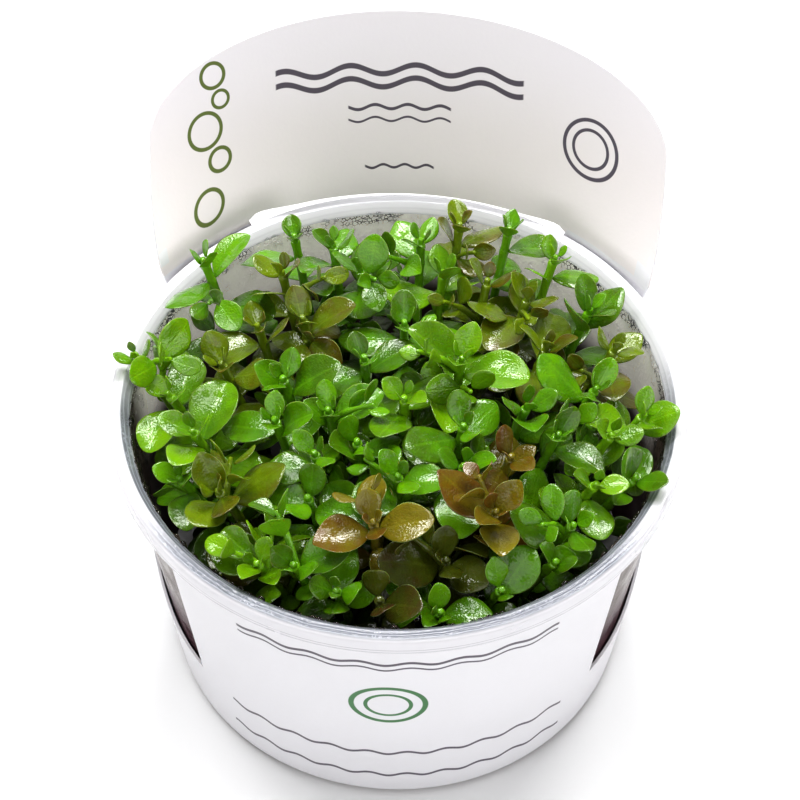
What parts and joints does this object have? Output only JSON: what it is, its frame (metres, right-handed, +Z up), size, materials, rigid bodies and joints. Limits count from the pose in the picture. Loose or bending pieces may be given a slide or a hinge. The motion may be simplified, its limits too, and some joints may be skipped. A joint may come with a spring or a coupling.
{
  "type": "potted lemon bacopa",
  "caption": "Clear flanged cup of nutrient gel in a white card sleeve with a tall arched header, packed with short green Bacopa shoots whose thick leaves stand in opposite pairs.",
  "frame": {"origin": "centre of the cup's flat underside, on the surface it stands on", "axes": "+Z up along the cup's axis; +Y towards the sleeve's header, so the pictured front faces -Y"},
  "size_m": [0.1, 0.1122, 0.0943],
  "materials": {
    "clear_plastic": "gloss",
    "white_card": "satin",
    "gel": "gloss",
    "green": "gloss",
    "lime": "gloss",
    "olive": "gloss",
    "bronze": "gloss",
    "plum": "gloss"
  },
  "bodies": {
    "root": {"cup": "clear_plastic", "sleeve": "white_card", "growing_medium": "gel", "shoot_01": "green", "shoot_02": "green", "shoot_03": "green", "shoot_04": "green", "shoot_05": "green", "shoot_06": "olive", "shoot_07": "green", "shoot_08": "lime", "shoot_09": "olive", "shoot_10": "lime", "shoot_11": "olive", "shoot_12": "olive", "shoot_13": "lime", "shoot_14": "lime", "shoot_15": "olive", "shoot_16": "olive", "shoot_17": "olive", "shoot_18": "green", "shoot_19": "green", "shoot_20": "olive", "shoot_21": "olive", "shoot_22": "green", "shoot_23": "green", "shoot_24": "lime", "shoot_25": "lime", "shoot_26": "green", "shoot_27": "green", "shoot_28": "lime", "shoot_29": "lime", "shoot_30": "green", "shoot_31": "green", "shoot_32": "green", "shoot_33": "green", "shoot_34": "green", "shoot_35": "lime", "shoot_36": "green", "shoot_37": "olive", "shoot_38": "green", "shoot_39": "green", "shoot_40": "green", "shoot_41": "green", "shoot_42": "bronze", "shoot_43": "lime", "shoot_44": "green", "shoot_45": "green", "shoot_46": "bronze", "shoot_47": "bronze", "shoot_48": "plum", "shoot_49": "lime", "shoot_50": "green", "shoot_51": "green", "shoot_52": "plum", "shoot_53": "green", "shoot_54": "green", "shoot_55": "green"}
  },
  "joints": []
}
